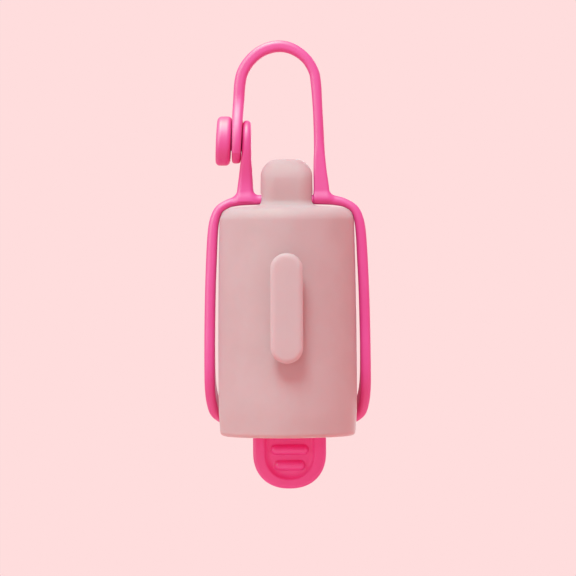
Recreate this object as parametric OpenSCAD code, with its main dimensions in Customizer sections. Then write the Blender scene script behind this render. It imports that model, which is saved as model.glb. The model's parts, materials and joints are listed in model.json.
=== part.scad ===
// Silicone dispenser for a roll of dog waste bags.
// A sleeve holds the roll. A harness strap runs through the sleeve's neck, over its shoulders and down
// its sides, and carries a button-on loop at the top and a hinged lid with a pull tab at the bottom.
// The modules are drawn about the sleeve's axis with the rim at z = 0, and then moved as one, so that
// the origin is the centre of the carry loop's arch. The front faces -Y.

/* [Sleeve] */
// Height from the rim to the shoulder's crown
sleeve_h = 71; // [64:0.5:86]
// Outer diameter at the rim
sleeve_d = 43; // [42:0.5:52]
// Outer diameter just under the shoulder
shoulder_d = 41.7; // [40.5:0.1:50]
// Wall of the sleeve
wall = 2.2; // [1.6:0.1:2.6]
// Round between the side and the top
shoulder_round = 3.5; // [2.5:0.1:4.5]
// Rise of the domed top
dome_rise = 1; // [0.5:0.1:1.5]
// Round of the rim's outer edge
rim_round = 1.4; // [0.8:0.1:1.6]

/* [Neck] */
// Width from side to side
neck_w = 16.1; // [14:0.1:19]
// Depth from front to back
neck_depth = 12.6; // [11.5:0.1:15]
// Height above the shoulder's crown
neck_h = 14.3; // [11:0.1:17]
// Round of the upright corners
neck_corner = 4.6; // [2:0.1:5.5]
// Round of the top edges
neck_round = 4.4; // [2:0.1:5.5]

/* [Bag slot] */
// Width of the slot that the bags are pulled through
slot_w = 6; // [5:0.1:8]
// Length of the slot
slot_len = 34; // [26:0.5:40]
// Height of the slot's lower end above the rim
slot_z = 18; // [15:0.5:22]

/* [Bag hook] */
// Width of the pill-shaped bar
hook_w = 9.9; // [8:0.1:12]
// Length of the bar
hook_len = 33; // [26:0.5:40]
// Thickness of the bar
hook_t = 2.6; // [2:0.1:3.4]
// Gap behind the bar, where a tied bag hooks in
hook_gap = 2.6; // [2:0.1:3.4]
// Height of the bar's middle above the rim
hook_z = 40; // [36:0.5:48]
// Length of the stem that carries the bar
hook_stem_len = 12; // [8:0.5:16]

/* [Harness bands] */
// Width of the bands and of the strap over the shoulders
band_w = 5.5; // [4.5:0.25:7]
// Thickness of the side bands
band_t = 3.3; // [2.6:0.1:4]
// Thickness of the strap over the top
strap_t = 2.9; // [2.2:0.1:3.2]
// Width of the strap inside the neck
tunnel_strap_w = 4.3; // [3.4:0.1:4.4]
// Gap between the side bands and the sleeve near the bottom
band_gap = 0.95; // [0.6:0.05:1.4]
// Height of the bands' lowest edge above the rim, at the back
band_low_z = 2.6; // [2:0.1:3.4]
// Radius of the bends that take the bands from the sides to the back
sweep_r = 21.5; // [19:0.5:25]

/* [Carry loop] */
// Inner radius of the arch
loop_r = 10; // [8:0.5:14]
// Thickness of the arch
loop_t = 3.7; // [3:0.1:4.5]
// Width of the strand
loop_w = 5.5; // [4.5:0.25:7]
// Height of the arch's centre above the shoulder's crown
loop_rise = 37.35; // [33:0.05:46]
// Place of the arch's centre, left of the sleeve's axis
loop_left = 2.5; // [2:0.1:3]

/* [Button] */
// Height of the stud above the shoulder's crown
stud_rise = 20; // [17.5:0.5:21.5]
// Radius of the stud's stem
stem_r = 3; // [2:0.1:3.5]
// Radius of the stud's disc
disc_r = 7.6; // [7:0.1:8.5]
// Thickness of the disc
disc_t = 4.7; // [3.5:0.1:5.5]
// Thickness of the eyelet
eyelet_t = 2.95; // [2.4:0.05:3.6]
// Radius of the eyelet's round end
eyelet_r = 6.9; // [6:0.1:7.4]
// Radius of the post's round top
post_r = 6.3; // [5.5:0.1:7]
// Thickness of the post at the stud
post_t = 3; // [2.4:0.1:3.6]

/* [Lid] */
// Thickness of the plug that closes the sleeve
plug_t = 3; // [2.4:0.1:4]
// Width of the pull tab
tab_w = 23; // [20:0.5:25]
// Length of the pull tab below the rim
tab_len = 17.7; // [14:0.1:22]
// Thickness of the pull tab
tab_t = 3.4; // [2.8:0.1:3.8]
// Depth of the recess in the tab's front
pocket_depth = 0.9; // [0.5:0.1:1.2]
// Border left round the recess
pocket_border = 3; // [2:0.1:4]

/* [Bag roll] */
// Play round a full roll, inside the sleeve's upper end
roll_play = 1.65; // [0.8:0.05:4]
// Free height above the roll
roll_room = 3.7; // [1:0.1:10]
// Outer diameter of the core
core_d = 16; // [12:0.5:20]
// Wall of the core
core_wall = 1.3; // [0.8:0.1:2]

/* [Clearances] */
// Between soft parts that move or slip past each other
gap = 0.3; // [0.25:0.05:0.4]
// Between the roll and its core
core_gap = 0.1; // [0.05:0.05:0.2]

/* [Hidden] */
$fn = 96;

sleeve_colour = "#dcabab";
harness_colour = "#f0488c";
card_colour = "#b8926a";
film_colour = "#c98f98";

sleeve_r = sleeve_d / 2;
shoulder_r = shoulder_d / 2;
loop_z = sleeve_h + loop_rise;
stud_z = sleeve_h + stud_rise;
taper_z = 12; // the side is straight below this, and draws in above it
crown_edge = sleeve_h - dome_rise; // height where the dome meets the shoulder's round
shoulder_z = crown_edge - shoulder_round; // centre of the shoulder's round
flat_r = shoulder_r - shoulder_round; // where the dome ends and the round starts
cavity_top = shoulder_z + 0.5;
cavity_bevel = 1.5;
straight = 0.05; // half of the short straight between the two round ends of a slot or a bar

// tunnel through the neck, with the strap's underside on the crown
strap_under = sleeve_h + gap;
strap_top = strap_under + strap_t;

// outer line of the strap over the shoulder, and the bands' inner radii by height
strap_level_x = neck_w / 2 + 7.3; // the strap's top is level up to here
corner_centre = [flat_r - 0.2, shoulder_z - 0.3];
corner_r = shoulder_round + gap + 2.8;
band_top = shoulder_z - 6;
band_low_r = sleeve_r + band_gap;
band_top_r = side_r(band_top) + 2 * gap;

// right side of the loop: a boss on the strap, and the riser that bends just above it
riser_inner = neck_w / 2 + 0.4;
boss_w = 5;
boss_flare = 2.4;
boss_top = strap_top + 1;
riser_r = 2.2;
riser_pivot = [riser_inner + riser_r, boss_top + gap + riser_r];
riser_slim_z = loop_z - 14; // the riser is slimmest here
riser_slim = [riser_inner - 0.2, riser_inner + 3.2];
split_y = 13; // plane between the side bands and the back band

// centre of the bands' bends, seen from the side
sweep_centre = [sweep_r - band_w / 2, band_low_z + sweep_r];

// left side of the loop: arch end, tail, eyelet, disc and post, from the top down
arch_left = -loop_left - loop_r - loop_t / 2;
tail_r = loop_t / 2;
tail_pivot = [arch_left, loop_z - gap - tail_r];
post_inset = 0.95; // from the arch's inner side to the post's left face
post_face = -loop_left - loop_r - post_inset; // the eyelet lies against this face
eyelet_right = post_face - gap;
eyelet_left = eyelet_right - eyelet_t;
disc_face = eyelet_left - gap;
post_inner = post_face + post_t;
post_foot = [-strap_level_x, -(neck_w / 2 + 1)];
post_flare = [1.4, 0.15]; // how much wider the post is, left and right, above its foot
tail_end = stud_z + disc_r + 0.7; // the tail ends just above the disc
disc_round = 1.1;

// lid hinge in the notch of the rear rim
hinge_z = plug_t / 2;
hinge_y = sleeve_r + 0.5;
plug_r = sleeve_r - wall - gap;
notch_w = tab_w + 1;
notch_h = plug_t + 0.5;
web_w = tab_w - 0.4;
hinge_room_w = tab_w + 1.6;
hinge_room_top = hinge_z + tab_t / 2 + 0.4;
tab_front = hinge_y - tab_t / 2;
ridge_pitch = 4.9;
ridge_h = 2.8;
ridge_widths = [12.4, 9.4]; // from the top down
pocket_top = 0.4; // the recess starts this far below the rim

roll_z = plug_t + gap;
roll_r = shoulder_r - wall - roll_play;
roll_len = cavity_top - roll_room - roll_z;

function arc(c, r, from, to, n) =
    [for (i = [0:n]) c + r * [cos(from + (to - from) * i / n), sin(from + (to - from) * i / n)]];

// the sleeve's outer radius on its drawn-in side
function side_r(z) = sleeve_r - (sleeve_r - shoulder_r) * (z - taper_z) / (shoulder_z - taper_z);

function reversed(list) = [for (i = [len(list) - 1:-1:0]) list[i]];

function mirrored(list) = [for (p = list) [-p[0], p[1]]];

// moves the drawing's origin, the rim's centre, to the centre of the carry loop's arch
module to_loop_frame() {
    translate([loop_left, 0, -loop_z]) children();
}

// a front view (x right, z up) given a width in Y
module along_y(width) {
    rotate([90, 0, 0]) linear_extrude(width, center = true) children();
}

// a side view (y right, z up) given a width in X, from -width/2 to width/2
module along_x(width) {
    rotate([90, 0, 90]) linear_extrude(width, center = true) children();
}

module rounded_rect(w, h, r) {
    square([w - 2 * r, h], center = true);
    square([w, h - 2 * r], center = true);
    for (sx = [-1, 1], sy = [-1, 1])
        translate([sx * (w / 2 - r), sy * (h / 2 - r)]) circle(r);
}

// an upright outline with a flat foot at 0 and round top corners
module tombstone(w, h, r) {
    translate([0, (h - r) / 2]) square([w, h - r], center = true);
    translate([0, h - r]) square([w - 2 * r, 2 * r], center = true);
    for (s = [-1, 1])
        translate([s * (w / 2 - r), h - r]) circle(r);
}

// ---------------------------------------------------------------- sleeve

module sleeve_outline() {
    polygon(concat(
        [[0, 0], [sleeve_r - rim_round, 0]],
        arc([sleeve_r - rim_round, rim_round], rim_round, -75, 0, 4),
        [[sleeve_r, taper_z]],
        arc([flat_r, shoulder_z], shoulder_round, 0, 86, 7),
        [[0, sleeve_h]]
    ));
}

module cavity_outline() {
    polygon([
        [0, -1],
        [sleeve_r - wall, -1],
        [sleeve_r - wall, taper_z],
        [shoulder_r - wall, cavity_top - cavity_bevel],
        [shoulder_r - wall - cavity_bevel, cavity_top],
        [0, cavity_top]
    ]);
}

module neck() {
    full_h = neck_h + dome_rise;
    translate([0, 0, crown_edge]) intersection() {
        linear_extrude(full_h + 1) rounded_rect(neck_w, neck_depth, neck_corner);
        along_y(neck_depth + 2) tombstone(neck_w, full_h, neck_round);
        along_x(neck_w + 2) tombstone(neck_depth, full_h, neck_round);
    }
}

module strap_tunnel() {
    tunnel_h = strap_t + 2 * gap;
    translate([0, 0, sleeve_h + tunnel_h / 2])
        cube([neck_w + 2, tunnel_strap_w + 2 * gap, tunnel_h], center = true);
}

module bag_slot() {
    translate([0, sleeve_r - wall / 2, slot_z + slot_len / 2])
        along_y(wall + 4) rounded_rect(slot_w, slot_len, slot_w / 2 - straight);
}

module rim_notch() {
    translate([-notch_w / 2, 0, -1]) cube([notch_w, sleeve_r + 2, notch_h + 1]);
}

module sleeve() {
    color(sleeve_colour) to_loop_frame() difference() {
        union() {
            rotate_extrude() sleeve_outline();
            neck();
        }
        rotate_extrude() cavity_outline();
        strap_tunnel();
        bag_slot();
        rim_notch();
    }
}

// A pill-shaped bar on a stem. The stem is cut to the sleeve's round side, which it is moulded to.
module bag_hook() {
    bar_y = sleeve_r + hook_gap + hook_t / 2;
    color(sleeve_colour) to_loop_frame() translate([0, 0, hook_z]) {
        translate([0, -bar_y, 0]) along_y(hook_t) rounded_rect(hook_w, hook_len, hook_w / 2 - straight);
        difference() {
            translate([0, -sleeve_r - hook_gap / 2 + 1, 0])
                along_y(hook_gap + 2) rounded_rect(hook_w - 3, hook_stem_len, 3);
            translate([0, 0, -hook_z]) rotate_extrude() sleeve_outline();
        }
    }
}

// ---------------------------------------------------------------- harness, fixed part

// right half of the strap over the top, as seen from the front, from the neck out and back again
function shoulder_points() = concat(
    [[neck_w / 2 + 1, strap_under]],
    arc([flat_r, shoulder_z], shoulder_round + gap, 90, 0, 7),
    [[band_top_r, band_top], [band_top_r + band_t, band_top]],
    arc(corner_centre, corner_r, 0, 75, 7),
    [[strap_level_x, strap_top]]
);

module shoulder_outline() {
    polygon(concat(shoulder_points(), reversed(mirrored(shoulder_points()))));
}

module riser_boss() {
    polygon([
        [riser_inner, strap_top - 0.5],
        [riser_inner + boss_w + boss_flare, strap_top - 0.5],
        [riser_inner + boss_w, boss_top],
        [riser_inner, boss_top]
    ]);
}

module shoulder_strap() {
    color(harness_colour) to_loop_frame() difference() {
        along_y(band_w) {
            shoulder_outline();
            riser_boss();
        }
        // waist inside the neck
        for (s = [-1, 1])
            translate([0, s * (tunnel_strap_w / 2 + band_w / 2), strap_under + strap_t / 2])
                cube([neck_w + 2 * gap, band_w, strap_t + 2], center = true);
    }
}

// the ring that the bands are cut from
module band_shell() {
    rotate_extrude() polygon([
        [band_low_r, -1],
        [band_low_r, taper_z],
        [band_top_r, band_top],
        [band_top_r + band_t, band_top],
        [band_low_r + band_t, taper_z + 8],
        [band_low_r + band_t, -1]
    ]);
}

// side view of a band: straight down the side, swept towards the back, and level round it
module band_outline() {
    translate([-band_w / 2, sweep_centre[1]]) square([band_w, band_top - sweep_centre[1]]);
    intersection() {
        translate(sweep_centre) difference() {
            circle(sweep_r, $fn = 200);
            circle(sweep_r - band_w, $fn = 200);
        }
        translate([-band_w / 2, 0]) square([sweep_r, sweep_centre[1]]);
    }
    translate([sweep_centre[0], band_low_z]) square([sleeve_d, band_w]);
}

module side_band(side) {
    color(harness_colour) to_loop_frame() intersection() {
        band_shell();
        translate([side * sleeve_d / 2, 0, 0]) along_x(sleeve_d) intersection() {
            band_outline();
            translate([-band_w, 0]) square([band_w + split_y, band_top]);
        }
    }
}

module side_band_left() {
    side_band(-1);
}

module side_band_right() {
    side_band(1);
}

// joins the side bands behind the sleeve, with room below for the lid's hinge
module back_band() {
    color(harness_colour) to_loop_frame() difference() {
        intersection() {
            band_shell();
            along_x(2 * sleeve_d) intersection() {
                band_outline();
                translate([split_y, 0]) square([sleeve_d, sweep_centre[1]]);
            }
        }
        translate([0, sleeve_r, 0])
            cube([hinge_room_w, sleeve_d / 2, 2 * hinge_room_top], center = true);
    }
}

module button_post() {
    foot = strap_top;
    top = stud_z + post_r;
    color(harness_colour) to_loop_frame() intersection() {
        along_y(3 * post_r) polygon([
            [post_foot[0], foot],
            [post_foot[1], foot],
            [post_inner + post_flare[1], foot + 3],
            [post_inner, stud_z - 8],
            [post_inner, top + 1],
            [post_face, top + 1],
            [post_face, stud_z - eyelet_r - gap],
            [post_face - post_flare[0], foot + 4]
        ]);
        along_x(4 * sleeve_d) {
            translate([0, stud_z]) circle(post_r);
            polygon([
                [-band_w / 2, foot],
                [band_w / 2, foot],
                [post_r, stud_z],
                [-post_r, stud_z]
            ]);
        }
    }
}

// stem and disc, turned about the stud's axis, which runs along X
module button_stud() {
    color(harness_colour) to_loop_frame()
        translate([post_face, 0, stud_z]) rotate([0, -90, 0]) rotate_extrude() {
            square([stem_r, post_face - disc_face + 1]);
            translate([0, post_face - disc_face]) {
                square([disc_r, disc_t - disc_round]);
                square([disc_r - disc_round, disc_t]);
                translate([disc_r - disc_round, disc_t - disc_round]) circle(disc_round);
            }
        }
}

// ---------------------------------------------------------------- carry loop

module strap_riser() {
    color(harness_colour) to_loop_frame() along_y(loop_w) {
        translate(riser_pivot) circle(riser_r);
        polygon([
            [riser_pivot[0] - riser_r, riser_pivot[1]],
            [riser_pivot[0] + riser_r, riser_pivot[1]],
            [riser_slim[1], riser_slim_z],
            [loop_r - loop_left + loop_t, loop_z],
            [loop_r - loop_left, loop_z],
            [riser_slim[0], riser_slim_z]
        ]);
    }
}

module strap_arch() {
    color(harness_colour) to_loop_frame() translate([-loop_left, 0, loop_z]) intersection() {
        rotate([90, 0, 0]) difference() {
            cylinder(h = loop_w, r = loop_r + loop_t, center = true);
            cylinder(h = loop_w + 2, r = loop_r, center = true);
        }
        translate([-2 * loop_r, -loop_w, 0]) cube([4 * loop_r, 2 * loop_w, 2 * loop_r]);
    }
}

module strap_tail() {
    color(harness_colour) to_loop_frame() along_y(loop_w) {
        translate(tail_pivot) circle(tail_r);
        polygon([
            [eyelet_left + 0.1, tail_end],
            [eyelet_right + 0.2, tail_end],
            [arch_left + tail_r, tail_pivot[1]],
            [arch_left - tail_r, tail_pivot[1]]
        ]);
    }
}

// the loop's free end, buttoned between the disc and the post
module strap_eyelet() {
    color(harness_colour) to_loop_frame()
        translate([(eyelet_left + eyelet_right) / 2, 0, 0]) along_x(eyelet_t) difference() {
            union() {
                translate([0, stud_z]) circle(eyelet_r);
                translate([-loop_w / 2, stud_z]) square([loop_w, tail_end - stud_z]);
            }
            translate([0, stud_z]) circle(stem_r + gap);
        }
}

// ---------------------------------------------------------------- lid

module lid_plug() {
    color(harness_colour) to_loop_frame() {
        cylinder(h = plug_t, r = plug_r, $fn = 128);
        translate([-web_w / 2, 0, 0]) cube([web_w, tab_front, plug_t]);
    }
}

// front view of the tab below the rim: straight sides and a half-round end
module tab_outline(border) {
    r = tab_w / 2 - border;
    end_z = -(tab_len - tab_w / 2);
    intersection() {
        translate([0, end_z]) {
            circle(r);
            translate([-r, 0]) square([2 * r, tab_len]);
        }
        translate([-tab_w, -2 * tab_len]) square([2 * tab_w, 2 * tab_len - pocket_top]);
    }
}

module tab_ridge(row, w) {
    translate([0, tab_front + pocket_depth / 2, -row * ridge_pitch])
        along_y(pocket_depth) rounded_rect(w, ridge_h, ridge_h / 2 - straight);
}

module pull_tab() {
    color(harness_colour) to_loop_frame() {
        difference() {
            union() {
                translate([0, hinge_y, 0]) along_y(tab_t) {
                    tab_outline(0);
                    translate([-tab_w / 2, -1]) square([tab_w, hinge_z + 1]);
                }
                // round back of the hinge, and the shoulder that meets the plug's web
                along_x(web_w) {
                    translate([hinge_y, hinge_z]) circle(tab_t / 2);
                    translate([tab_front, 0]) square([tab_t / 2, plug_t]);
                }
            }
            translate([0, tab_front, 0]) along_y(2 * pocket_depth) tab_outline(pocket_border);
        }
        for (i = [0:1])
            tab_ridge(i + 1, ridge_widths[i]);
    }
}

// ---------------------------------------------------------------- bag roll

module tube(outer_r, inner_r, length) {
    translate([0, 0, roll_z]) difference() {
        cylinder(h = length, r = outer_r);
        translate([0, 0, -1]) cylinder(h = length + 2, r = inner_r);
    }
}

module roll_core() {
    color(card_colour) to_loop_frame() tube(core_d / 2, core_d / 2 - core_wall, roll_len);
}

module bag_roll() {
    color(film_colour) to_loop_frame() tube(roll_r, core_d / 2 + core_gap, roll_len);
}

sleeve();
bag_hook();
shoulder_strap();
side_band_left();
side_band_right();
back_band();
button_post();
button_stud();
strap_riser();
strap_arch();
strap_tail();
strap_eyelet();
lid_plug();
pull_tab();
roll_core();
bag_roll();
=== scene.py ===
import json
import math

import bmesh
import bpy
import numpy as np
from mathutils import Matrix, Vector


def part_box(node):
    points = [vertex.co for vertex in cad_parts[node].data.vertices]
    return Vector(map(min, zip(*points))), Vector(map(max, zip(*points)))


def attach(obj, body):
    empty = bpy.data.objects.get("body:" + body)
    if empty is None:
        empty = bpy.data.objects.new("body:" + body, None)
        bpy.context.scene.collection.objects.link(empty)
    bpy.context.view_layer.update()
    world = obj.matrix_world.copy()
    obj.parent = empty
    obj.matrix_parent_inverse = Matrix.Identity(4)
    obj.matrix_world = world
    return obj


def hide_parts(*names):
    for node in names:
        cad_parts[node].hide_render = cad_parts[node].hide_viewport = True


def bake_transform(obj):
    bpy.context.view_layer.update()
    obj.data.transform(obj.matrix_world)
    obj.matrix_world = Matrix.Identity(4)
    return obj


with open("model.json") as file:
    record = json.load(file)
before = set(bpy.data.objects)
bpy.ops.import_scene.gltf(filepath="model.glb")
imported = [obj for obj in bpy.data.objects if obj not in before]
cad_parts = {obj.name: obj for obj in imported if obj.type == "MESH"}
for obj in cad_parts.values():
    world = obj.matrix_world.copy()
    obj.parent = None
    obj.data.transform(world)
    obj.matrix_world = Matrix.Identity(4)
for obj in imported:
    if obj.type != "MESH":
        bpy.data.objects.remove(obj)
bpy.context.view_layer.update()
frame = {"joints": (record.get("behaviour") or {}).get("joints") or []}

# The moulded shapes are drawn in millimetres about the sleeve's axis, with the rim at z = 0, the front
# towards -Y and x to the right. Each is a distance function: negative inside, positive outside. Sizes
# that the CAD model sets are read from its nodes' boxes; the rest are named here.
SLEEVE_LOW, SLEEVE_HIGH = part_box("sleeve")
AXIS_X = (SLEEVE_LOW[0] + SLEEVE_HIGH[0]) / 2
RIM_Z = SLEEVE_LOW[2]
ORIGIN = np.array([AXIS_X, 0.0, RIM_Z])
CELL = 0.42  # size of a mesh cell


def box_mm(node):
    """A CAD node's lowest and highest corners in the drawing's own millimetres."""
    low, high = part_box(node)
    return (np.array(low) - ORIGIN) * 1000, (np.array(high) - ORIGIN) * 1000


def joint_mm(name):
    """A joint's place in the drawing's own millimetres."""
    joint = next(j for j in frame["joints"] if j["name"] == name)
    return (np.array(joint["pos_m"]) - ORIGIN) * 1000


def metres(x, y, z):
    """A point of the drawing, in the row's frame."""
    return tuple(np.array([x, y, z]) / 1000 + ORIGIN)


# ---------------------------------------------------------------- distances

def hypot(*parts):
    return np.sqrt(sum(p * p for p in parts))


def both(a, b, r):
    """What a and b share, with the edge between them rounded by r."""
    return np.minimum(np.maximum(a, b), -r) + hypot(np.maximum(a + r, 0), np.maximum(b + r, 0))


def melt(a, b, r):
    """a and b moulded into one, with a fillet of radius r between them."""
    return np.maximum(np.minimum(a, b), r) - hypot(np.maximum(r - a, 0), np.maximum(r - b, 0))


def carve(a, b, r):
    """a without b, with the edges of the cut rounded by r."""
    return both(a, -b, r)


def rounded_rect(u, v, half_u, half_v, r):
    du, dv = np.abs(u) - (half_u - r), np.abs(v) - (half_v - r)
    return hypot(np.maximum(du, 0), np.maximum(dv, 0)) + np.minimum(np.maximum(du, dv), 0) - r


def box(x, y, z, low, high, r):
    """A box with its edges rounded by r."""
    d = [np.abs(p - (a + b) / 2) - ((b - a) / 2 - r) for p, a, b in zip((x, y, z), low, high)]
    outside = hypot(*[np.maximum(q, 0) for q in d])
    return outside + np.minimum(np.maximum(np.maximum(d[0], d[1]), d[2]), 0) - r


def curve(knots, steps=10):
    """A smooth line through the knots, each (u, v, half thickness)."""
    k = np.array(knots, float)
    k = np.vstack([2 * k[0] - k[1], k, 2 * k[-1] - k[-2]])
    t = np.linspace(0, 1, steps, endpoint=False)[:, None]
    spans = []
    for a, b, c, d in zip(k, k[1:], k[2:], k[3:]):
        spans.append(
            b + t * (c - a) / 2 + t**2 * (a - 2.5 * b + 2 * c - d / 2) + t**3 * (-a + 3 * b - 3 * c + d) / 2
        )
    return np.vstack(spans + [k[-2][None]])


def ribbon(line, step=0.12, margin=7.0):
    """The distance, in a plane, to a line with a half thickness at each point, as a look-up table."""
    low = line[:, :2].min(0) - margin
    high = line[:, :2].max(0) + margin
    u = np.arange(low[0], high[0], step)[:, None]
    v = np.arange(low[1], high[1], step)[None, :]
    table = np.full((u.size, v.size), 1e3)
    for (u0, v0, h0), (u1, v1, h1) in zip(line, line[1:]):
        du, dv = u1 - u0, v1 - v0
        t = np.clip(((u - u0) * du + (v - v0) * dv) / (du * du + dv * dv), 0, 1)
        table = np.minimum(table, hypot(u - u0 - t * du, v - v0 - t * dv) - h0 - t * (h1 - h0))

    def look_up(a, b):
        i = np.clip((a - low[0]) / step, 0, u.size - 1.001)
        j = np.clip((b - low[1]) / step, 0, v.size - 1.001)
        i, j = np.broadcast_arrays(i, j)
        i0, j0 = i.astype(int), j.astype(int)
        fi, fj = i - i0, j - j0
        near = table[i0, j0] * (1 - fi) + table[i0 + 1, j0] * fi
        far = table[i0, j0 + 1] * (1 - fi) + table[i0 + 1, j0 + 1] * fi
        return near * (1 - fj) + far * fj

    return look_up


def smoothstep(x, a, b):
    t = np.clip((x - a) / (b - a), 0, 1)
    return t * t * (3 - 2 * t)


# ---------------------------------------------------------------- meshes

def gradient(field, p, h=0.02):
    g = np.empty_like(p)
    for a in range(3):
        step = np.zeros(3)
        step[a] = h
        g[:, a] = (field(*(p + step).T) - field(*(p - step).T)) / (2 * h)
    return g


def net(field, low, high, cell):
    """Points and four-sided faces of the surface where field is 0, one point to a cell that it crosses."""
    axes = [np.arange(math.floor(a / cell) - 1, math.ceil(b / cell) + 2) * cell for a, b in zip(low, high)]
    x, y, z = np.meshgrid(*axes, indexing="ij", sparse=True)
    d = np.broadcast_to(field(x, y, z), [len(a) for a in axes]).astype(np.float32)
    inside = d < 0
    count = sum(
        inside[i:len(axes[0]) - 1 + i, j:len(axes[1]) - 1 + j, k:len(axes[2]) - 1 + k].astype(np.int8)
        for i in (0, 1) for j in (0, 1) for k in (0, 1)
    )
    cells = np.argwhere((count > 0) & (count < 8))
    number = np.full(count.shape, -1, np.int64)
    number[tuple(cells.T)] = np.arange(len(cells))

    total, hits = np.zeros((len(cells), 3)), np.zeros(len(cells))
    corners = [np.array(c) for c in np.ndindex(2, 2, 2)]
    for a in corners:
        for axis in range(3):
            if a[axis]:
                continue
            b = a.copy()
            b[axis] = 1
            da, db = d[tuple((cells + a).T)], d[tuple((cells + b).T)]
            crossed = (da < 0) != (db < 0)
            t = np.where(crossed, da / np.where(crossed, da - db, 1), 0)
            total += crossed[:, None] * (a + t[:, None] * (b - a))
            hits += crossed
    start = np.array([a[0] for a in axes])
    points = start + (cells + total / hits[:, None]) * cell

    faces = []
    for axis in range(3):
        near = [slice(1, -1)] * 3
        far = list(near)
        near[axis], far[axis] = slice(0, -1), slice(1, None)
        first, second = inside[tuple(near)], inside[tuple(far)]
        edges = np.argwhere(first != second)
        leaving = first[tuple(edges.T)]
        edges += [0 if a == axis else 1 for a in range(3)]
        u, v = (axis + 1) % 3, (axis + 2) % 3
        ring = []
        for back_u, back_v in ((1, 1), (0, 1), (0, 0), (1, 0)):
            c = edges.copy()
            c[:, u] -= back_u
            c[:, v] -= back_v
            ring.append(number[tuple(c.T)])
        quads = np.stack(ring, 1)
        quads[~leaving] = quads[~leaving][:, ::-1]
        faces.append(quads)
    faces = np.vstack(faces)

    for _ in range(3):
        g = gradient(field, points)
        pull = field(*points.T) / np.maximum((g * g).sum(1), 0.25)
        points -= np.clip(pull, -cell / 2, cell / 2)[:, None] * g
    return points, faces


def mesh_object(name, points, faces):
    mesh = bpy.data.meshes.new(name)
    mesh.vertices.add(len(points))
    mesh.vertices.foreach_set("co", (points / 1000 + ORIGIN).astype(np.float32).ravel())
    mesh.loops.add(faces.size)
    mesh.loops.foreach_set("vertex_index", faces.astype(np.int32).ravel())
    mesh.polygons.add(len(faces))
    mesh.polygons.foreach_set("loop_start", np.arange(0, faces.size, 4, dtype=np.int32))
    mesh.update(calc_edges=True)
    obj = bpy.data.objects.new(name, mesh)
    bpy.context.scene.collection.objects.link(obj)
    return obj


def smooth_by(obj, field):
    """Smooth shading with the true normals of the surface that the mesh was made from."""
    points = np.empty(len(obj.data.vertices) * 3)
    obj.data.vertices.foreach_get("co", points)
    points = (points.reshape(-1, 3) - ORIGIN) * 1000
    g = gradient(field, points)
    normals = g / np.maximum(np.linalg.norm(g, axis=1), 1e-9)[:, None]
    obj.data.polygons.foreach_set("use_smooth", np.ones(len(obj.data.polygons), bool))
    obj.data.normals_split_custom_set_from_vertices(normals.astype(np.float32))


def cut(obj, point, normal, beyond_x=None):
    """Takes away what lies beyond the plane, and closes the cut. beyond_x leaves what is left of it alone."""
    bm = bmesh.new()
    bm.from_mesh(obj.data)
    geom = bm.verts[:] + bm.edges[:] + bm.faces[:]
    if beyond_x is not None:
        keep = {v for v in bm.verts if v.co.x > metres(beyond_x, 0, 0)[0]}
        geom = list(keep) + [e for e in bm.edges if keep.issuperset(e.verts)]
        geom += [f for f in bm.faces if keep.issuperset(f.verts)]
    found = bmesh.ops.bisect_plane(
        bm, geom=geom, dist=1e-7, plane_co=metres(*point), plane_no=normal, clear_outer=True,
    )
    rim = [e for e in found["geom_cut"] if isinstance(e, bmesh.types.BMEdge)]
    bmesh.ops.holes_fill(bm, edges=rim)
    bm.to_mesh(obj.data)
    bm.free()


def moulding(name, field, low, high, cell=CELL, cuts=()):
    """A piece made from its distance function, within low and high, and cut off at planes."""
    obj = mesh_object(name, *net(field, low, high, cell))
    for plane in cuts:
        cut(obj, *plane)
    smooth_by(obj, field)
    return obj


# ---------------------------------------------------------------- the sleeve

SLEEVE_R = (SLEEVE_HIGH[0] - SLEEVE_LOW[0]) * 500
SLEEVE_H = 71.0
INSET = 0.12  # keeps the surface inside the CAD solid
DRAFT = 0.65  # how much narrower the sleeve is under its shoulder
RIM_DRAW = 0.35  # and at its rim
WIDEST_Z = 20.0
WALL = 2.2
DOME_R = 165.0  # of the sleeve's top
SHOULDER_ROUND = 3.5
SHOULDER_Z = SLEEVE_H - 1.0 - SHOULDER_ROUND
RIM_ROUND = 1.4
NECK_HALF = (8.05, 6.3)
NECK_TOP = (SLEEVE_HIGH[2] - RIM_Z) * 1000
NECK_PLAN_ROUND = 4.8
NECK_TOP_ROUND = 4.75
NECK_FILLET = 1.7
NECK_FOOT_DRAW = 0.5  # how much the neck's front and back draw in towards its foot
TUNNEL = ((-12, -2.45, SLEEVE_H), (12, 2.45, SLEEVE_H + 3.5))
SLOT_HALF = (3.0, 17.0)
SLOT_Z = 35.0
HOOK_LOW, HOOK_HIGH = box_mm("bag_hook")
HOOK_Z = (HOOK_LOW[2] + HOOK_HIGH[2]) / 2 - 0.4
HOOK_HALF = ((HOOK_HIGH[0] - HOOK_LOW[0]) / 2, (HOOK_HIGH[2] - HOOK_LOW[2]) / 2 + 0.2)
HOOK_T = 2.6
HOOK_STEM = (3.45, 6.0, 3.0)  # half width, half height and corner
NOTCH_HALF = 12.0
NOTCH_TOP = 3.5


def sleeve_radius(z):
    """The sleeve is widest at WIDEST_Z, and draws in a little towards the shoulder and the rim."""
    r = SLEEVE_R - INSET - DRAFT * ((z - WIDEST_Z) / (SHOULDER_Z - WIDEST_Z)) ** 2
    return r - RIM_DRAW * smoothstep(-z, -9, 0)


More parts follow.
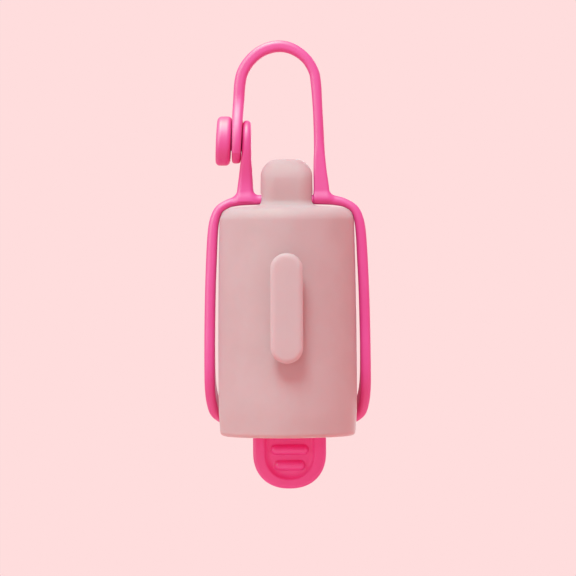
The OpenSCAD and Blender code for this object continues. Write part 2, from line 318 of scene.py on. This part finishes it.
def sleeve_outside(x, y, z):
    """The sleeve and its neck, without any hollow."""
    rho = hypot(x, y)
    top = z - (SLEEVE_H + 0.15 - rho * rho / (2 * DOME_R))
    body = both(both(rho - sleeve_radius(z), top, SHOULDER_ROUND), -z, RIM_ROUND)
    foot_draw = NECK_FOOT_DRAW * smoothstep(-z, -SLEEVE_H - 7, -SLEEVE_H)
    top_draw = 0.015 * np.clip(z - SLEEVE_H - 6, 0, 6) ** 2
    neck = rounded_rect(x, y, NECK_HALF[0], NECK_HALF[1] - (foot_draw + top_draw), NECK_PLAN_ROUND)
    neck = neck + 0.012 * (z - SLEEVE_H)
    neck = both(neck, z - NECK_TOP + x * x / 120 + y * y / 26, NECK_TOP_ROUND)
    neck = np.maximum(neck, SHOULDER_Z - z)
    return melt(body, neck, NECK_FILLET)


def sleeve_field(x, y, z):
    rho = hypot(x, y)
    d = sleeve_outside(x, y, z)

    pill = rounded_rect(x, z - HOOK_Z, HOOK_HALF[0], HOOK_HALF[1], HOOK_HALF[0] - 0.05)
    crown = (pill + HOOK_HALF[0]) * 0.035  # the bar's face is very slightly domed
    pill = both(pill * 0.75, np.maximum(HOOK_LOW[1] + crown - y, y - HOOK_LOW[1] - HOOK_T), 1.25)
    stem = rounded_rect(x, z - HOOK_Z, *HOOK_STEM)
    stem = np.maximum(stem, np.maximum(y + SLEEVE_R - 1.5, HOOK_LOW[1] + 1.3 - y))
    d = melt(d, melt(pill, stem, 0.9), 0.9)

    bore = rho - (SLEEVE_R - WALL - DRAFT * smoothstep(z, 12, 66))
    cavity = both(bore, z - (SHOULDER_Z + 0.5), 1.5)
    d = carve(d, cavity, 0.4)
    slot = rounded_rect(x, z - SLOT_Z, SLOT_HALF[0], SLOT_HALF[1], SLOT_HALF[0] - 0.05)
    d = carve(d, np.maximum(slot, 12 - y), 0.8)
    d = carve(d, box(x, y, z, *TUNNEL, 0.4), 0.3)
    notch = np.maximum(np.maximum(np.abs(x) - NOTCH_HALF, z - NOTCH_TOP), -y)
    return carve(d, notch, 0.5)


# ---------------------------------------------------------------- the harness

STRAP_LOW, STRAP_HIGH = box_mm("shoulder_strap")
BAND_HALF_W = (STRAP_HIGH[1] - STRAP_LOW[1]) / 2
WAIST_HALF_W = 2.15
BAND_T = 3.3
BAND_MIDDLE = 24.08  # radius of the middle of the bands' thickness, low down
BAND_LOW_Z = box_mm("back_band")[0][2]
EDGE = 1.4  # round of the bands' and straps' edges
LOOP_HALF_W = BAND_HALF_W
LOOP_X = -AXIS_X * 1000
LOOP_Z = -RIM_Z * 1000
STUD_LOW, STUD_HIGH = box_mm("button_stud")
STUD_Z = (STUD_LOW[2] + STUD_HIGH[2]) / 2
DISC_R = (STUD_HIGH[2] - STUD_LOW[2]) / 2
DISC_T = 4.7
STUD_LEAN = 0.05  # the stud's face leans out a little towards its top
STEM_R = 3.0
POST_R = 6.3
EYELET_R = 6.9
RISER_CUT = 77.0  # the fixed moulding ends here, and the bending strap begins
RISER_FOOT_Z = 72.8  # where the riser stands on the shoulder strap
RISER_INNER_X = 8.3  # its side towards the neck
STRAP_IN_NECK = 0.8  # how far the shoulder strap runs into the neck
UNROLL_R = 24.0  # radius at which distances round the sleeve are measured

# strap over the right shoulder, from the neck outwards and down the side: x, z and half thickness
SHOULDER_LINE = curve([
    (0, 72.75, 1.4), (8, 72.8, 1.46), (12.5, 72.72, 1.5), (15.4, 72.4, 1.45), (18.2, 71.6, 1.3),
    (20.9, 69.75, 1.35), (22.3, 66.4, 1.5), (22.95, 61.5, 1.6), (23.35, 54, BAND_T / 2),
    (23.7, 44, BAND_T / 2),
])
# middle of a band on the unrolled sleeve: distance round from the side, height, and half width
SWEEP_END = BAND_LOW_Z + BAND_HALF_W
SWEEP_LINE = curve([
    (0, 68, BAND_HALF_W), (0, 50, BAND_HALF_W), (0, 34.5, BAND_HALF_W), (0.2, 25.2, BAND_HALF_W),
    (2.0, 16.6, BAND_HALF_W), (7.5, 9.2, BAND_HALF_W), (12.3, 6.6, BAND_HALF_W),
    (16.5, SWEEP_END + 0.2, BAND_HALF_W), (21, SWEEP_END, BAND_HALF_W), (26, SWEEP_END, BAND_HALF_W),
    (34, SWEEP_END, BAND_HALF_W), (44, SWEEP_END, BAND_HALF_W),
])
# the loop's arch: angle from its right end, radius and half thickness
ARCH = (
    (0, 11.78, 1.62), (20, 11.78, 1.58), (42, 11.78, 1.56), (64, 11.82, 1.66), (84, 11.82, 1.74),
    (104, 11.58, 1.77), (124, 11.38, 1.78), (145, 11.33, 1.77), (163, 11.48, 1.79), (180, 11.7, 1.77),
)
# the carry strap from its foot on the right shoulder to the eyelet: x, z and half thickness
STRAND_LINE = curve(
    [(10.95, 70, 2.6), (10.75, 76.5, 2.38), (10.42, 81, 2.08), (10.24, 85, 1.85), (10.18, 88, 1.66),
     (10.0, 95, 1.55), (9.68, 102, 1.52)]
    + [
        (LOOP_X + r * math.cos(math.radians(a)), LOOP_Z + r * math.sin(math.radians(a)), half)
        for a, r, half in ARCH
    ]
    + [(-14.55, 103.6, 1.73), (-14.85, 99.5, 1.68), (-15.08, 95, 1.56), (-15.24, STUD_Z, 1.46),
       (-15.4, 87, 1.36), (-15.52, 83, 1.25)]
)
TABLES = {
    "shoulder": ribbon(SHOULDER_LINE),
    "sweep": ribbon(SWEEP_LINE),
    "strand": ribbon(STRAND_LINE),
}


def band_middle(z):
    """Radius of the middle of the side bands' thickness."""
    return BAND_MIDDLE - 0.95 * (np.maximum(z - WIDEST_Z, 0) / 40) ** 2


def strand_field(x, y, z):
    """The carry strap, with its eyelet."""
    rho = hypot(y, z - STUD_Z)
    strip = np.abs(y) - LOOP_HALF_W
    tail = melt(np.maximum(strip, STUD_Z - z), rho - EYELET_R, 8.0)
    edge = 0.8 + (EDGE - 0.8) * smoothstep(z, 84, 92)
    d = both(TABLES["strand"](x, z), np.where(x < LOOP_X, tail, strip), edge)
    hole = np.maximum(rho - STEM_R - 0.3, x + 5)
    return carve(d, hole, 0.4)


def post_field(x, y, z):
    left = -13.45 - 0.105 * np.maximum(STUD_Z - 0.5 - z, 0) - 0.03 * np.maximum(84 - z, 0)
    right = -10.76 + 0.055 * np.maximum(85.5 - z, 0)
    across = np.maximum(left - x, x - right)
    narrowing = (POST_R - BAND_HALF_W) * smoothstep(-z, -STUD_Z, -76)
    upper = np.maximum(np.abs(y) - POST_R + narrowing, z - STUD_Z)
    outline = np.minimum(upper, hypot(y, z - STUD_Z) - POST_R)
    return np.maximum(both(across, outline, 1.3), 72.5 - z)


def stud_field(x, y, z):
    rho = hypot(y, z - STUD_Z)
    face = STUD_LOW[0] + STUD_LEAN * (z - STUD_Z)
    dome = 0.25 * (rho / DISC_R) ** 2
    disc = both(rho - DISC_R, np.maximum(face + dome - x, x - face - DISC_T), 1.3)
    stem = np.maximum(rho - STEM_R, np.maximum(face + 1 - x, x + 12))
    return melt(disc, stem, 0.35)


def band_field(x, y, z):
    """The strap over the shoulders and the bands down the sides and round the back."""
    rho = hypot(x, y)
    low_part = smoothstep(-z, -66, -56)
    out = np.abs(x) + (rho - np.abs(x)) * low_part
    strap = TABLES["shoulder"](out, z)
    wide = both(strap, np.abs(y) - BAND_HALF_W, EDGE)
    wide = np.maximum(wide, NECK_HALF[0] - STRAP_IN_NECK - np.abs(x))
    waist = both(strap, np.abs(y) - WAIST_HALF_W, 0.8)
    waist = np.maximum(waist, np.abs(x) - NECK_HALF[0] - 3)
    top = np.minimum(wide, waist)

    round_way = UNROLL_R * np.arctan2(y, np.abs(x))
    thick = np.abs(rho - band_middle(z)) - BAND_T / 2
    side = both(TABLES["sweep"](round_way, z), thick, EDGE)
    share = smoothstep(z, 46, 56)
    d = side * (1 - share) + top * share
    hinge_room = box(x, y, z, (-12.3, 10, -8), (12.3, 34, 3.7), 0.6)
    return carve(d, hinge_room, 0.6)


def harness_field(x, y, z):
    """The fixed part of the harness. The riser's inner side is cut straight beside the neck."""
    bands = band_field(x, y, z)
    d = melt(bands, post_field(x, y, z), 1.6)
    d = melt(d, stud_field(x, y, z), 0.5)
    riser = both(np.maximum(strand_field(x, y, z), 5 - x), RISER_FOOT_Z - z, 0.6)
    d = melt(d, riser, 1.8)
    return np.where(x > 5, np.maximum(d, np.minimum(RISER_INNER_X - x, bands)), d)


# ---------------------------------------------------------------- the lid

PLUG_LOW, PLUG_HIGH = box_mm("lid_plug")
PLUG_R = (PLUG_HIGH[0] - PLUG_LOW[0]) / 2
PLUG_T = PLUG_HIGH[2] - PLUG_LOW[2]
TAB_LOW, TAB_HIGH = box_mm("pull_tab")
TAB_HALF_W = (TAB_HIGH[0] - TAB_LOW[0]) / 2
HINGE = joint_mm("lid_open")
TAB_T = 3.4
TAB_X = 0.3  # the tab sits a little to the right of the axis
TAB_END = 11.5  # height of the tab's rounded end
TAB_POWER = 2.25  # 2 makes the end an ellipse, and more makes it squarer
POCKET_HALF_W = 7.9
POCKET_END = 8.6
POCKET_DEPTH = 1.4
POCKET_SLOPE = 0.55
RIDGES = ((-0.7, 5.8), (-5.55, 5.9), (-10.4, 4.8))  # height and half width
RIDGE_R = 1.5


def tab_outline(x, z, half_w, end):
    """Straight sides with a rounded, slightly squarish end, seen from the front."""
    drop = np.maximum(TAB_LOW[2] + TAB_END - z, 0) / end
    return (((np.abs(x) / half_w) ** TAB_POWER + drop ** TAB_POWER) ** (1 / TAB_POWER) - 1) * half_w


def lid_field(x, y, z):
    rho = hypot(x, y)
    plug = both(rho - PLUG_R, np.abs(z - PLUG_T / 2) - PLUG_T / 2, 0.5)
    web = box(x, y, z, (-11.3, 8, 0), (11.3, HINGE[1] + 0.5, PLUG_T), 0.5)
    front = HINGE[1] - TAB_T / 2
    turned = hypot(y - HINGE[1], z - HINGE[2]) - TAB_T / 2
    back = np.where(z > HINGE[2], turned, y - HINGE[1] - TAB_T / 2)
    side = x - TAB_X
    outline = np.maximum(tab_outline(side, z, TAB_HALF_W, TAB_END), z - HINGE[2] - TAB_T / 2)
    plate = both(outline, np.maximum(front - y, back), 1.1)
    slope = POCKET_SLOPE * (y - front)
    pocket = np.maximum(tab_outline(side, z, POCKET_HALF_W, POCKET_END) + slope, z + 0.3)
    plate = carve(plate, both(pocket, y - front - POCKET_DEPTH, 0.9), 0.3)
    for ridge_z, half_w in RIDGES:
        along = np.maximum(np.abs(side) - half_w + RIDGE_R, 0)
        ridge = hypot(along, z - ridge_z, y - front - RIDGE_R) - RIDGE_R
        plate = melt(plate, np.maximum(ridge, y - HINGE[1]), 0.2)
    return melt(melt(plug, web, 1.0), plate, 0.7)


def hinge_web_field(x, y, z):
    """The thin living hinge between the back band and the lid."""
    return box(x, y, z, (-10.6, 22.55, 2.5), (10.6, 23.45, 4.5), 0.4)


# ---------------------------------------------------------------- materials

def node_of(tree, kind, **inputs):
    node = tree.nodes.new(kind)
    for name, value in inputs.items():
        node.inputs[name.replace("_", " ")].default_value = value
    return node


def srgb(r, g, b):
    """A colour given as it shows on a screen, 0 to 255, as the linear value that a shader takes."""
    parts = (c / 255 / 12.92 if c <= 10 else ((c / 255 + 0.055) / 1.055) ** 2.4 for c in (r, g, b))
    return (*parts, 1)


def new_material(name):
    material = bpy.data.materials.new(name)
    material.use_nodes = True
    tree = material.node_tree
    tree.nodes.clear()
    shader = tree.nodes.new("ShaderNodeBsdfPrincipled")
    out = tree.nodes.new("ShaderNodeOutputMaterial")
    tree.links.new(shader.outputs["BSDF"], out.inputs["Surface"])
    return material, tree, shader


def remap(tree, value, low, high, from_low=0.0, from_high=1.0):
    node = tree.nodes.new("ShaderNodeMapRange")
    for name, number in zip(("From Min", "From Max", "To Min", "To Max"), (from_low, from_high, low, high)):
        node.inputs[name].default_value = number
    tree.links.new(value, node.inputs["Value"])
    return node.outputs["Result"]


def mix_colours(tree, factor, a, b):
    """From a at factor 0 to b at factor 1. Each is a colour or another node's output."""
    node = tree.nodes.new("ShaderNodeMix")
    node.data_type = "RGBA"
    for name, colour in (("A", a), ("B", b)):
        if isinstance(colour, tuple):
            node.inputs[name].default_value = colour
        else:
            tree.links.new(colour, node.inputs[name])
    tree.links.new(factor, node.inputs["Factor"])
    return node.outputs["Result"]


def bumps(tree, shader, height, depth, strength=1.0):
    bump = node_of(tree, "ShaderNodeBump", Strength=strength, Distance=depth)
    tree.links.new(height, bump.inputs["Height"])
    tree.links.new(bump.outputs["Normal"], shader.inputs["Normal"])


def silicone(name, colour, deep_colour, scatter, specular, sheen, painted_light_colour=None, rough=(0.44, 0.58)):
    """Matte moulded silicone: slightly cloudy colour, a fine satin grain, and light that soaks in as far
    as scatter. What stands out in front of the sleeve is painted in a paler colour, when one is given:
    painted light, for the extra light that the proud bar catches."""
    material, tree, shader = new_material(name)
    place = tree.nodes.new("ShaderNodeTexCoord").outputs["Object"]
    cloud = node_of(tree, "ShaderNodeTexNoise", Scale=90, Detail=3, Roughness=0.5)
    grain = node_of(tree, "ShaderNodeTexNoise", Scale=2600, Detail=2, Roughness=0.6)
    patch = node_of(tree, "ShaderNodeTexNoise", Scale=260, Detail=4, Roughness=0.6)
    for texture in (cloud, grain, patch):
        tree.links.new(place, texture.inputs["Vector"])
    factor = remap(tree, cloud.outputs["Fac"], 0, 1, 0.3, 0.62)
    tint = mix_colours(tree, factor, deep_colour, colour)
    # painted light: the bar that stands in front of the sleeve is painted paler, for the extra light that it
    # catches
    if painted_light_colour:
        split = tree.nodes.new("ShaderNodeSeparateXYZ")
        tree.links.new(place, split.inputs["Vector"])
        back, front = (HOOK_LOW[1] + HOOK_T) / 1000, (HOOK_LOW[1] + HOOK_T / 2) / 1000
        tint = mix_colours(tree, remap(tree, split.outputs["Y"], 0, 1, back, front), tint, painted_light_colour)
    tree.links.new(tint, shader.inputs["Base Color"])
    tree.links.new(remap(tree, patch.outputs["Fac"], *rough), shader.inputs["Roughness"])
    bumps(tree, shader, grain.outputs["Fac"], 0.00003, 0.25)
    shader.inputs["Specular IOR Level"].default_value = specular
    shader.inputs["Subsurface Weight"].default_value = 0.6 if scatter else 0
    shader.inputs["Subsurface Radius"].default_value = (1.0, 0.3, 0.35)
    shader.inputs["Subsurface Scale"].default_value = scatter
    shader.inputs["Sheen Weight"].default_value = sheen
    shader.inputs["Sheen Roughness"].default_value = 0.5
    return material


def wound_film():
    """Thin soft film wound on a core: fine layers at the ends, slight ripples along the side."""
    material, tree, shader = new_material("bag_film")
    place = tree.nodes.new("ShaderNodeTexCoord").outputs["Object"]
    rings = node_of(tree, "ShaderNodeTexWave", Scale=900, Distortion=0.6, Detail=1)
    rings.wave_type = "RINGS"
    rings.rings_direction = "Z"
    creases = node_of(tree, "ShaderNodeTexNoise", Scale=140, Detail=5, Roughness=0.65)
    shift = node_of(tree, "ShaderNodeVectorMath")
    shift.operation = "SUBTRACT"
    shift.inputs[1].default_value = metres(0, 0, 0)
    tree.links.new(place, shift.inputs[0])
    tree.links.new(shift.outputs["Vector"], rings.inputs["Vector"])
    tree.links.new(place, creases.inputs["Vector"])
    colours = mix_colours(tree, creases.outputs["Fac"], srgb(188, 138, 146), srgb(205, 158, 164))
    tree.links.new(colours, shader.inputs["Base Color"])
    tree.links.new(remap(tree, creases.outputs["Fac"], 0.32, 0.5), shader.inputs["Roughness"])
    bumps(tree, shader, rings.outputs["Fac"], 0.00006, 0.5)
    shader.inputs["Subsurface Weight"].default_value = 0.3
    shader.inputs["Subsurface Radius"].default_value = (1.0, 0.6, 0.6)
    shader.inputs["Subsurface Scale"].default_value = 0.001
    return material


def card():
    """Grey-brown cardboard with short fibres."""
    material, tree, shader = new_material("core_card")
    place = tree.nodes.new("ShaderNodeTexCoord").outputs["Object"]
    stretch = node_of(tree, "ShaderNodeMapping", Scale=(900, 900, 260))
    fibres = node_of(tree, "ShaderNodeTexNoise", Scale=1, Detail=5, Roughness=0.7)
    tree.links.new(place, stretch.inputs["Vector"])
    tree.links.new(stretch.outputs["Vector"], fibres.inputs["Vector"])
    factor = remap(tree, fibres.outputs["Fac"], 0, 1, 0.35, 0.65)
    colours = mix_colours(tree, factor, srgb(150, 118, 84), srgb(184, 152, 114))
    tree.links.new(colours, shader.inputs["Base Color"])
    shader.inputs["Roughness"].default_value = 0.85
    bumps(tree, shader, fibres.outputs["Fac"], 0.00005, 0.5)
    return material


BACKGROUND = srgb(255, 221, 221)
FLOOR_COLOUR = srgb(252, 208, 205)
# the last, paler colour is painted light on the hook bar that stands proud of the sleeve
SLEEVE_SILICONE = silicone(
    "dusty_pink_silicone", srgb(221, 176, 176), srgb(218, 171, 171),
    scatter=0.003, specular=0.08, sheen=0.1, painted_light_colour=srgb(222, 181, 181),
)
HARNESS_SILICONE = silicone(
    "hot_pink_silicone", srgb(245, 65, 151), srgb(243, 59, 145),
    scatter=0, specular=1.0, sheen=0, rough=(0.5, 0.6),
)


# ---------------------------------------------------------------- pieces

def place_piece(obj, material, nodes):
    obj.data.materials.clear()
    obj.data.materials.append(material)
    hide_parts(*nodes)


def make_sleeve():
    low = (-SLEEVE_R - 1, HOOK_LOW[1] - 1, -1)
    high = (SLEEVE_R + 1, SLEEVE_R + 1, NECK_TOP + 1)
    sleeve = moulding("sleeve_body", sleeve_field, low, high)
    place_piece(sleeve, SLEEVE_SILICONE, ["sleeve", "bag_hook"])
    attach(sleeve, "dispenser")


def make_harness():
    top = LOOP_Z + 15
    harness = moulding(
        "harness", harness_field, (-27, -8, -1), (27, 27, STUD_Z + DISC_R + 1),
        cuts=[((0, 0, RISER_CUT), (0, 0, 1), 3)],
    )
    place_piece(harness, HARNESS_SILICONE, [
        "shoulder_strap", "side_band_left", "side_band_right", "back_band", "button_post", "button_stud",
    ])
    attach(harness, "dispenser")

    rise = moulding(
        "carry_strap_rise", strand_field, (LOOP_X - 1, -6, RISER_CUT - 1), (17, 6, top),
        cuts=[((0, 0, RISER_CUT), (0, 0, -1)), ((LOOP_X, 0, 0), (-1, 0, 0))],
    )
    place_piece(rise, HARNESS_SILICONE, ["strap_riser", "strap_arch"])
    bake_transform(rise)

    end = moulding(
        "carry_strap_end", strand_field, (-20, -8, 80), (LOOP_X + 1, 8, top),
        cuts=[((LOOP_X, 0, 0), (1, 0, 0))],
    )
    place_piece(end, HARNESS_SILICONE, ["strap_tail", "strap_eyelet"])
    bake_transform(end)


def make_lid():
    lid = moulding("lid_and_tab", lid_field, (-20, -20, TAB_LOW[2] - 1), (20, 27, 5))
    place_piece(lid, HARNESS_SILICONE, ["lid_plug", "pull_tab"])
    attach(lid, "lid")
    web = moulding("living_hinge", hinge_web_field, (-12, 21, 2), (12, 25, 6), cell=0.3)
    place_piece(web, HARNESS_SILICONE, [])
    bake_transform(web)


def lathe(name, outline, around, push=None):
    """A closed outline of (radius, height) turned about the sleeve's axis. push moves the radius."""
    turn = np.arange(around) * 2 * math.pi / around
    outline = np.array(outline)
    r = np.repeat(outline[:, :1], around, 1)
    z = np.repeat(outline[:, 1:], around, 1)
    if push:
        r, z = push(r, z, turn[None])
    points = np.stack([r * np.cos(turn), r * np.sin(turn), z], -1).reshape(-1, 3)
    i, j = np.meshgrid(np.arange(len(outline)), np.arange(around), indexing="ij")
    i1, j1 = (i + 1) % len(outline), (j + 1) % around
    faces = np.stack([i * around + j, i * around + j1, i1 * around + j1, i1 * around + j], -1)
    obj = mesh_object(name, points, faces.reshape(-1, 4))
    obj.data.shade_smooth()
    return obj


LAYERS = 46
CORE_WALL = 1.3


def make_roll():
    low, high = box_mm("bag_roll")
    outer = (high[0] - low[0]) / 2
    core_low, core_high = box_mm("roll_core")
    core_r = (core_high[0] - core_low[0]) / 2

    # the roll's ends show its layers, some standing out further than others
    layers = np.linspace(core_r + 0.12, outer - 0.1, LAYERS)
    depth = 0.06 + 0.14 * np.abs(np.sin(layers * 2.4) * np.cos(layers * 5.3)) + 0.1 * (np.arange(LAYERS) % 2)
    depth[0] = depth[-1] = 0.35
    bottom = [(r, low[2] + d) for r, d in zip(layers, depth)]
    side = [(outer - 0.03, low[2] + 0.5), (outer - 0.05, low[2] + 20), (outer - 0.05, high[2] - 20),
            (outer - 0.03, high[2] - 0.5)]
    top = [(r, high[2] - d) for r, d in zip(layers[::-1], depth[::-1])]

    def film_edge(r, z, turn):
        """The outer end of the film: one turn's thickness, gained slowly and lost at a step."""
        share = (turn / (2 * math.pi)) ** 3
        return r - 0.25 * (1 - share) * (r > outer - 0.4), z

    roll = lathe("wound_bags", bottom + side + top, 180, film_edge)
    place_piece(roll, wound_film(), ["bag_roll"])
    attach(roll, "roll")

    bevel = 0.25
    r0, r1, z0, z1 = core_r - CORE_WALL, core_r, core_low[2], core_high[2]
    ring = [(r0 + bevel, z0), (r1 - bevel, z0), (r1, z0 + bevel), (r1, z1 - bevel), (r1 - bevel, z1),
            (r0 + bevel, z1), (r0, z1 - bevel), (r0, z0 + bevel)]
    core = lathe("card_core", ring, 96)
    place_piece(core, card(), ["roll_core"])
    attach(core, "roll")


make_sleeve()
make_harness()
make_lid()
make_roll()


# ---------------------------------------------------------------- stage, light and camera

FLOOR_Z = -62.0  # below the lid's reach
FLOOR_R = 0.2  # metres, as the next two
FLOOR_FADE = (0.1, 0.185)


def make_floor():
    """A plain pale floor that fades out into the background before it comes into the photograph's frame."""
    bpy.ops.mesh.primitive_circle_add(
        vertices=64, radius=FLOOR_R, fill_type="NGON", location=metres(0, 0, FLOOR_Z),
    )
    floor = bpy.context.object
    floor.name = "floor"
    material, tree, shader = new_material("floor")
    out = next(n for n in tree.nodes if n.type == "OUTPUT_MATERIAL")
    place = tree.nodes.new("ShaderNodeTexCoord").outputs["Object"]
    away = tree.nodes.new("ShaderNodeVectorMath")
    away.operation = "LENGTH"
    clear = tree.nodes.new("ShaderNodeBsdfTransparent")
    mix = tree.nodes.new("ShaderNodeMixShader")
    tree.links.new(place, away.inputs[0])
    tree.links.new(remap(tree, away.outputs["Value"], 0, 1, *FLOOR_FADE), mix.inputs["Fac"])
    tree.links.new(shader.outputs["BSDF"], mix.inputs[1])
    tree.links.new(clear.outputs["BSDF"], mix.inputs[2])
    tree.links.new(mix.outputs["Shader"], out.inputs["Surface"])
    shader.inputs["Base Color"].default_value = FLOOR_COLOUR
    shader.inputs["Roughness"].default_value = 0.8
    shader.inputs["Specular IOR Level"].default_value = 0.1
    floor.data.materials.append(material)


def make_world():
    """A soft light from all round. Rays from the camera, and mirrored ones, see the background."""
    world = bpy.data.worlds.new("studio")
    bpy.context.scene.world = world
    world.use_nodes = True
    tree = world.node_tree
    tree.nodes.clear()
    ray = tree.nodes.new("ShaderNodeLightPath")
    seen = node_of(tree, "ShaderNodeBackground", Color=BACKGROUND, Strength=1.0)
    light = node_of(tree, "ShaderNodeBackground", Color=(1.08, 0.65, 0.69, 1), Strength=0.7)
    mix = tree.nodes.new("ShaderNodeMixShader")
    out = tree.nodes.new("ShaderNodeOutputWorld")
    direct = ray.outputs["Is Camera Ray"]
    for kind in ("Is Glossy Ray", "Is Transmission Ray"):
        either = tree.nodes.new("ShaderNodeMath")
        either.operation = "MAXIMUM"
        tree.links.new(direct, either.inputs[0])
        tree.links.new(ray.outputs[kind], either.inputs[1])
        direct = either.outputs["Value"]
    tree.links.new(direct, mix.inputs["Fac"])
    tree.links.new(light.outputs["Background"], mix.inputs[1])
    tree.links.new(seen.outputs["Background"], mix.inputs[2])
    tree.links.new(mix.outputs["Shader"], out.inputs["Surface"])


def area_light(name, place, target, size, power, colour):
    data = bpy.data.lights.new(name, "AREA")
    data.shape = "DISK"
    data.size = size
    data.energy = power
    data.color = colour
    lamp = bpy.data.objects.new(name, data)
    bpy.context.scene.collection.objects.link(lamp)
    lamp.location = place
    lamp.rotation_euler = (Vector(target) - Vector(place)).to_track_quat("-Z", "Y").to_euler()
    return lamp


# The photograph's frame: 576 pixels across, and one pixel is PIXEL mm at the sleeve's axis.
PIXEL = 0.3087
FRAME_PX = 576
RIM_ROW, AXIS_COLUMN, MIDDLE_ROW = 435.5, 287.15, 288
CAMERA_DISTANCE = 1.2
CAMERA_AZIMUTH = 0.4
CAMERA_ELEVATION = 0.5
CAMERA_ROLL = 0.35


def make_camera():
    data = bpy.data.cameras.new("camera")
    camera = bpy.data.objects.new("camera", data)
    bpy.context.scene.collection.objects.link(camera)
    bpy.context.scene.camera = camera
    data.sensor_width = 36
    data.lens = data.sensor_width * CAMERA_DISTANCE / (FRAME_PX * PIXEL / 1000)
    data.clip_end = 20
    target = Vector(metres((FRAME_PX / 2 - AXIS_COLUMN) * PIXEL, 0, (RIM_ROW - MIDDLE_ROW) * PIXEL))
    az, el = math.radians(CAMERA_AZIMUTH), math.radians(CAMERA_ELEVATION)
    out = Vector((math.sin(az) * math.cos(el), -math.cos(az) * math.cos(el), math.sin(el)))
    turn = (-out).to_track_quat("-Z", "Y").to_matrix().to_4x4()
    camera.matrix_world = (
        Matrix.Translation(target + out * CAMERA_DISTANCE) @ turn
        @ Matrix.Rotation(math.radians(-CAMERA_ROLL), 4, "Z")
    )


make_floor()
make_world()
MIDDLE = metres(0, 0, 50)
area_light("key", (-0.2, -0.66, 1.0), MIDDLE, 0.5, 14, (0.38, 1.0, 1.0))
area_light("side", (-0.9, -0.55, 0.1), MIDDLE, 0.7, 1.6, (0.42, 1.0, 1.0))
area_light("back", (0.3, 0.9, 0.05), MIDDLE, 0.7, 4, (0.6, 1.0, 1.0))
for name, place, power in (
    ("softbox_left", (-0.32, -0.25, 0.14), 1.4),
    ("softbox_top", (-0.12, -0.03, 0.44), 4.1),
):
    softbox = area_light(name, place, MIDDLE, 0.28, power, (0.05, 1.0, 0.45))
    softbox.visible_diffuse = False  # it only gives the silicone its satin highlights
make_camera()
bpy.context.scene.view_settings.view_transform = "Standard"
